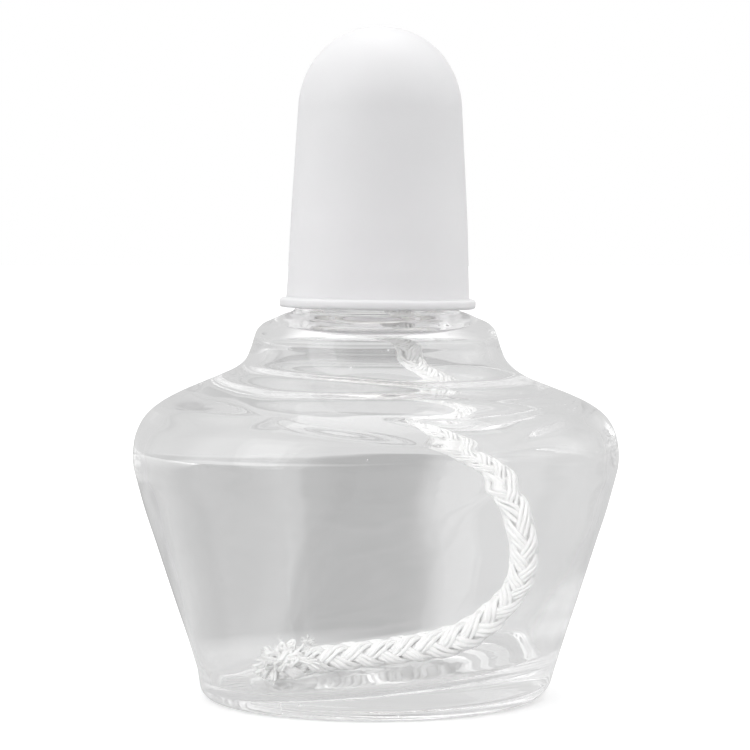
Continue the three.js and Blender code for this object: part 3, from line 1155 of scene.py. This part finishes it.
# painted shade and light behind the lamp, shaped as a grey card in the paper's glow: sideways
# slope from the camera's foot, and glow
PAINTED_CARD = [
    (-0.125, 0.31), (-0.074, 0.250), (-0.052, 0.272), (-0.042, 0.305), (-0.0335, 0.312),
    (-0.0285, 0.255), (-0.0235, 0.248), (-0.019, 0.234), (-0.014, 0.221), (-0.005, 0.215),
    (0.012, 0.220), (0.0190, 0.235), (0.0225, 0.275), (0.0285, 0.365), (0.038, 0.40),
    (0.055, 0.42), (0.075, 0.43), (0.125, 0.44),
]
# slope times this plus 0.5 fits the card's slopes into a curve's 0 to 1
PAINTED_CARD_SCALE = 4.0


def painted_card_curve(mat, slope):
    """The painted card's glow at a sideways slope: painted shade in the middle, lighter at the
    sides.
    """
    node = mat.add("ShaderNodeFloatCurve")
    points = node.mapping.curves[0].points
    while len(points) < len(PAINTED_CARD):
        points.new(0.5, 0.5)
    for point, (stop, glow) in zip(points, PAINTED_CARD):
        point.location = (stop * PAINTED_CARD_SCALE + 0.5, glow)
        point.handle_type = "AUTO_CLAMPED"
    node.mapping.update()
    mat.feed(node.inputs["Value"], mat.plus(mat.times(slope, PAINTED_CARD_SCALE), 0.5))
    return node.outputs["Value"]


def paper_material():
    """Near white seen straight on, light grey seen through the glass, where the grey is painted
    shade.

    The paper glows a little with painted light, so the ground under the lamp never goes black.
    Behind the lamp the glow paints light and shade as a grey card in the middle with lighter paper
    on both sides.
    """
    mat = Material("studio_floor_paper")
    place = mat.position()
    grain = mat.noise(place, scale=60.0, detail=2.0)
    seen = mat.ramp(grain, stops=[(0.3, (0.955, 0.955, 0.957)), (0.7, (0.965, 0.965, 0.966))])
    # the darker colour for rays that do not come from the camera is painted shade
    through = mat.ramp(grain, stops=[(0.3, (0.16, 0.16, 0.161)), (0.7, (0.18, 0.18, 0.181))])
    is_camera = mat.add("ShaderNodeLightPath").outputs["Is Camera Ray"]
    mat.set(
        Base_Color=mat.mix_colour(is_camera, first=through, second=seen),
        Roughness=0.9,
        Specular_IOR_Level=0.0,
    )
    x, y, _ = mat.separate(place)

    def from_camera():
        """Distance in y from the camera's foot, kept off zero."""
        return mat.math("MAXIMUM", mat.plus(y, CAMERA_BACK), 0.2)

    def mix(amount, low, high):
        """low where amount is 0, high where it is 1."""
        kept = mat.times(mat.math("SUBTRACT", 1.0, amount), low)
        return mat.plus(kept, mat.times(amount, high))

    # painted shade and light: the grey card that rays through the glass see
    painted_card = painted_card_curve(mat, mat.math("DIVIDE", x, from_camera()))
    glow = mix(mat.map_range(y, span=PAINTED_CARD_START), NEAR_GLOW, painted_card)
    glow = mix(mat.map_range(y, span=PAINTED_CARD_END), glow, FAR_GLOW)

    # painted light: paper looked down on steeply, as through the bent glass of the neck, glows
    # paler
    geometry = mat.add("ShaderNodeNewGeometry")
    incoming_z = mat.separate(geometry.outputs["Incoming"])[2]
    straight_view = mat.math("DIVIDE", CAMERA_HEIGHT, from_camera())

    def steepness(span):
        """0 to 1 as the ray grows steeper, measured against the camera's straight view."""
        return mat.map_range(mat.math("DIVIDE", incoming_z, straight_view), span=span)

    steep = steepness(span=(1.30, 1.75))
    steep = mat.times(steep, mat.map_range(y, span=(0.085, 0.12)))
    glow = mix(steep, glow, STEEP_GLOW)

    # painted shade: a grey patch in the glow behind the foot, which only the steep rays through
    # the neck pick out
    spot = mat.band(x, rise=(-0.0130, -0.0080), fall=(0.0120, 0.0170))
    spot = mat.times(spot, steepness(span=(3.0, 3.8)))
    spot = mat.times(spot, mat.band(y, rise=(0.031, 0.037), fall=(0.070, 0.085)))
    glow = mix(spot, glow, SPOT_GLOW)

    # emission: evenly white to the camera, painted light and shade to everything else
    to_camera = mat.times(is_camera, SEEN_GLOW)
    to_others = mat.times(mat.math("SUBTRACT", 1.0, is_camera), glow)
    mat.set(Emission_Color=(1, 1, 1, 1), Emission_Strength=mat.plus(to_camera, to_others))
    return mat.material


def build_floor():
    stations = np.linspace(-FLOOR_HALF, FLOOR_HALF, FLOOR_CELLS + 1)
    verts = [(x, y, 0.0) for y in stations for x in stations]
    row = FLOOR_CELLS + 1
    faces = [
        (j * row + i, j * row + i + 1, (j + 1) * row + i + 1, (j + 1) * row + i)
        for j in range(FLOOR_CELLS)
        for i in range(FLOOR_CELLS)
    ]
    mesh_object("studio_floor", verts, faces, 0, paper_material())


# ---------------------------------------------------------------------------------------------
# world
# ---------------------------------------------------------------------------------------------
# radiance of the room: straight behind the lamp, at its sides, round the camera, and overhead
ROOM = {"back": 0.68, "side": 0.84, "front": 0.76, "top": 1.2}
# softboxes painted on the room: azimuth from, to and softness (radians, 0 behind, + right),
# height (sine) from, to and softness, and radiance
BOXES = [
    (-2.62, -1.40, 0.16, 0.10, 0.86, 0.10, 1.50),
    (1.13, 2.20, 0.16, 0.12, 0.82, 0.10, 1.42),
]


def build_world():
    """White to the camera, and a soft studio to everything else."""
    world = bpy.data.worlds.new("studio")
    bpy.context.scene.world = world
    world.use_nodes = True
    world.node_tree.nodes.clear()
    graph = Graph(world.node_tree)
    output = graph.add("ShaderNodeOutputWorld")
    seen = graph.add("ShaderNodeBackground")
    room = graph.add("ShaderNodeBackground")
    mix = graph.add("ShaderNodeMixShader")
    light_path = graph.add("ShaderNodeLightPath")
    x, y, z = graph.separate(graph.add("ShaderNodeTexCoord").outputs["Generated"])
    azimuth = graph.math("ARCTAN2", x, y)  # 0 straight behind the lamp, +-pi at the camera
    from_back = graph.math("ABSOLUTE", azimuth, 0.0)

    def blend_to(value, amount, target):
        """value moved towards target by amount."""
        kept = graph.times(value, graph.math("SUBTRACT", 1.0, amount))
        return graph.plus(kept, graph.times(amount, target))

    def window(value, low, high, soft):
        """1 between low and high, falling off over soft on both sides."""
        rise, fall = (low - soft, low + soft), (high - soft, high + soft)
        return graph.band(value, rise=rise, fall=fall, smooth=True)

    sides = (ROOM["back"], ROOM["side"])
    level = graph.map_range(from_back, span=(0.45, 1.3), to=sides, smooth=True)
    at_front = graph.map_range(from_back, span=(2.0, 2.75), smooth=True)
    level = blend_to(level, at_front, ROOM["front"])
    overhead = graph.map_range(z, span=(0.45, 0.92), smooth=True)
    level = blend_to(level, overhead, ROOM["top"])
    for left, right, side_soft, low, high, height_soft, radiance in BOXES:
        across = window(azimuth, left, right, side_soft)
        box = graph.times(across, window(z, low, high, height_soft))
        level = blend_to(level, box, radiance)
    graph.feed_named(seen, Color=(1, 1, 1, 1), Strength=1.0)
    graph.feed_named(room, Color=(1, 1, 1, 1), Strength=level)
    graph.feed(mix.inputs["Fac"], light_path.outputs["Is Camera Ray"])
    graph.feed(mix.inputs[1], room.outputs[0])
    graph.feed(mix.inputs[2], seen.outputs[0])
    graph.feed(output.inputs["Surface"], mix.outputs[0])


# ---------------------------------------------------------------------------------------------
# lights and camera
# ---------------------------------------------------------------------------------------------
LAMP_MIDDLE = (0, 0, 0.06)
WICK_WATTS = 8.4
BACK_SHARE = 0.34  # the wick's two back lights against its key
NECK_SHARE = 0.42  # the two upper lengths stand in the cap's shade, so their lights are weaker
CAP_INSIDE_WATTS = 0.0075
# lights for the wick: name, location, target, size, share of WICK_WATTS
WICK_LIGHTS = [
    ("softbox_wick", (-0.30, -1.20, 0.22), (0, 0, 0.02), (0.50, 0.50), 1.0),
    ("softbox_wick_fill", (0.75, 0.60, 0.16), (0, 0, 0.03), (0.60, 0.50), BACK_SHARE),
    ("softbox_wick_rear", (-0.55, 0.85, 0.24), (0, 0, 0.03), (0.60, 0.50), BACK_SHARE),
]


def aim(thing, location, target):
    thing.location = location
    thing.rotation_mode = "QUATERNION"
    thing.rotation_quaternion = (Vector(target) - Vector(location)).to_track_quat("-Z", "Y")


def softbox(name, location, target, size, watts):
    light = bpy.data.lights.new(name, "AREA")
    light.shape = "RECTANGLE"
    light.size, light.size_y = size
    light.energy = watts
    lamp = link_object(name, light)
    aim(lamp, location, target)
    return lamp


def collect(name, pieces):
    collection = bpy.data.collections.new(name)
    for piece in pieces:
        collection.objects.link(piece)
    return collection


def restrict(lamp, receivers, blockers):
    """Lets a lamp light only the receivers, shadowed only by the blockers."""
    lamp.light_linking.receiver_collection = receivers
    lamp.light_linking.blocker_collection = blockers


def build_lights(wick, holder, cap):
    softbox("softbox_left", (-0.62, -0.42, 0.34), LAMP_MIDDLE, size=(0.34, 0.62), watts=0.60)
    softbox("softbox_right", (0.62, -0.48, 0.30), LAMP_MIDDLE, size=(0.22, 0.60), watts=0.15)
    softbox("softbox_top", (0.05, 0.05, 0.85), LAMP_MIDDLE, size=(0.75, 0.75), watts=1.7)

    # these light the cotton only, and the glass does not stand in their way
    blockers = collect("wick_light_blockers", [*wick, holder, cap])
    for label, pieces, dimming in (("shaded", wick[:2], NECK_SHARE), ("open", wick[2:], 1.0)):
        receivers = collect("wick_light_receivers_" + label, pieces)
        for name, location, target, size, share in WICK_LIGHTS:
            watts = WICK_WATTS * dimming * share
            if share == BACK_SHARE:
                watts = WICK_WATTS * share
            lamp = softbox(name + "_" + label, location, target, size, watts)
            restrict(lamp, receivers, blockers)

    # the cap's plastic is translucent: daylight that gets through its wall fills the inside
    light = bpy.data.lights.new("cap_inside_0", "POINT")
    light.shadow_soft_size = 0.006
    light.energy = CAP_INSIDE_WATTS
    lamp = link_object(light.name, light)
    lamp.location = (0, 0, 0.0705)
    receivers = collect("cap_inside_receivers", [holder, cap])
    restrict(lamp, receivers, collect("cap_inside_blockers", [cap]))


def build_camera():
    lens = bpy.data.cameras.new("camera")
    lens.lens = 146.0
    lens.sensor_width = 36.0
    lens.clip_start, lens.clip_end = 0.01, 50.0
    camera = link_object("camera", lens)
    location = (CAMERA_X, -CAMERA_BACK, CAMERA_HEIGHT)
    aim(camera, location, target=(CAMERA_X, 0, CAMERA_TARGET_HEIGHT))
    bpy.context.scene.camera = camera


def set_render():
    scene = bpy.context.scene
    # light crosses many glass surfaces here, and a path cut short would come back black
    scene.cycles.max_bounces = 400
    scene.cycles.transmission_bounces = 400
    scene.cycles.glossy_bounces = 400
    scene.cycles.diffuse_bounces = 6
    scene.view_settings.view_transform = "Standard"
    scene.view_settings.look = "None"
    scene.view_settings.exposure = 0.0
    scene.view_settings.gamma = 1.0


build_glass()
holder_piece = build_holder()
cap_piece = build_cap()
wick_pieces = build_wick()
build_floor()
build_world()
build_lights(wick_pieces, holder_piece, cap_piece)
build_camera()
set_render()
